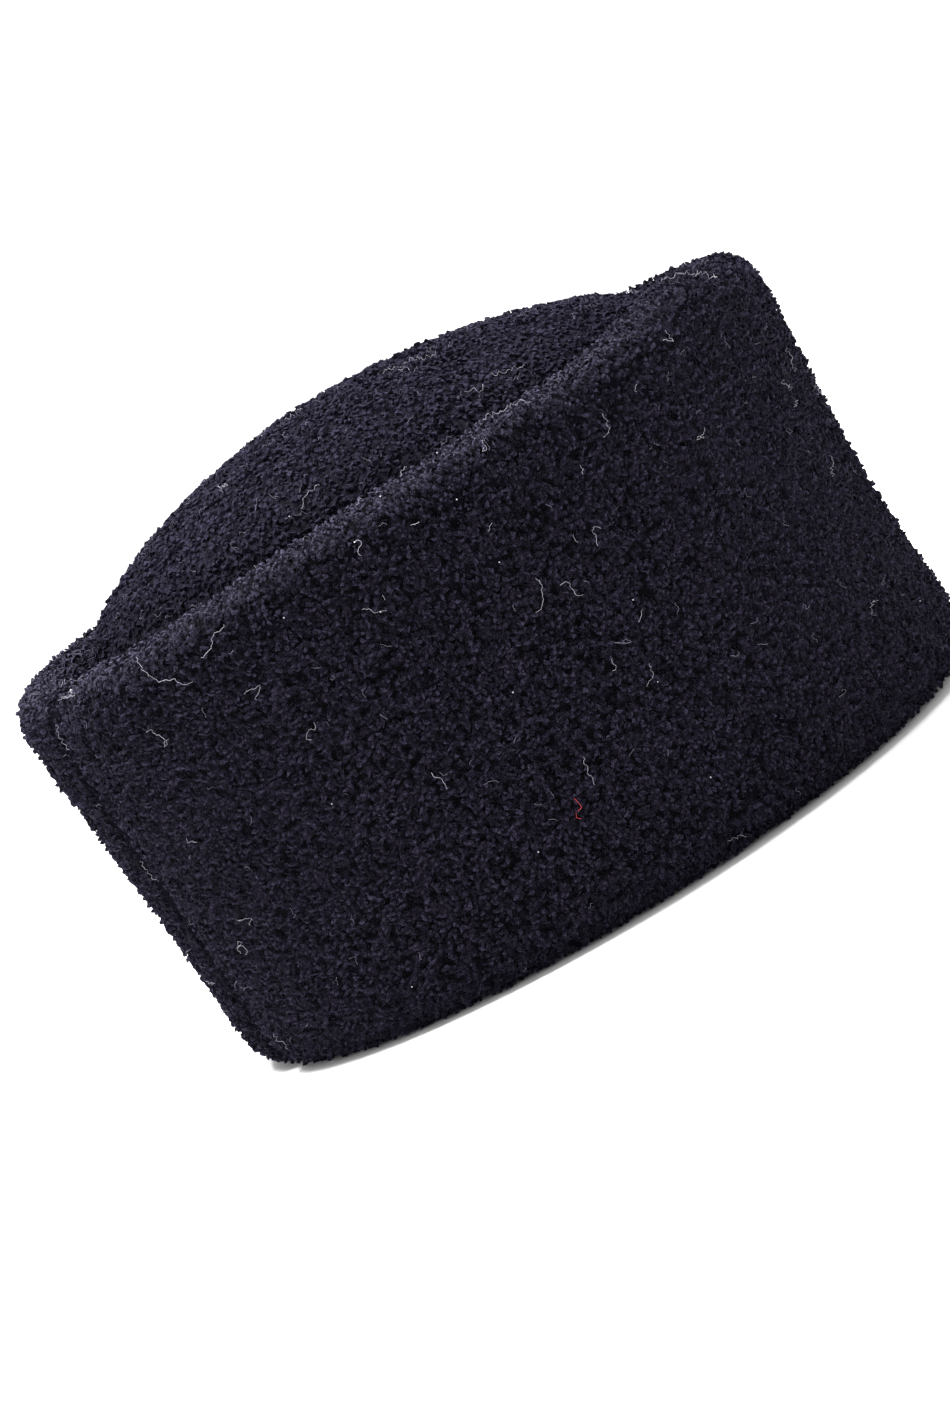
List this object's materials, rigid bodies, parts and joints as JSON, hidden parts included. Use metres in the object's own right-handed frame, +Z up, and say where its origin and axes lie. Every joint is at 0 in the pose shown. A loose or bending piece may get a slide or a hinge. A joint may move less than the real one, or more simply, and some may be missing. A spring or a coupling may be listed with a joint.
{
  "type": "caucasian fur hat",
  "caption": "Low oval hat of black curly sheepskin with a tall folded band, a rolled rim and a domed crown set inside it.",
  "frame": {"origin": "on the ground under the middle of the hat's outline, in the plane of the hem", "axes": "+Z up through the crown, +Y to the wearer's back where the seam is, -Y to the front, X across the head"},
  "size_m": [0.2114, 0.2474, 0.1525],
  "materials": {
    "band_fur": "matt black sheepskin pile in tight curls of 1 to 2 mm",
    "crown_fur": "matt black sheepskin pile in small knobs set in loose rows"
  },
  "bodies": {
    "root": {"fur_band": "band_fur", "fur_crown": "crown_fur"}
  },
  "joints": []
}
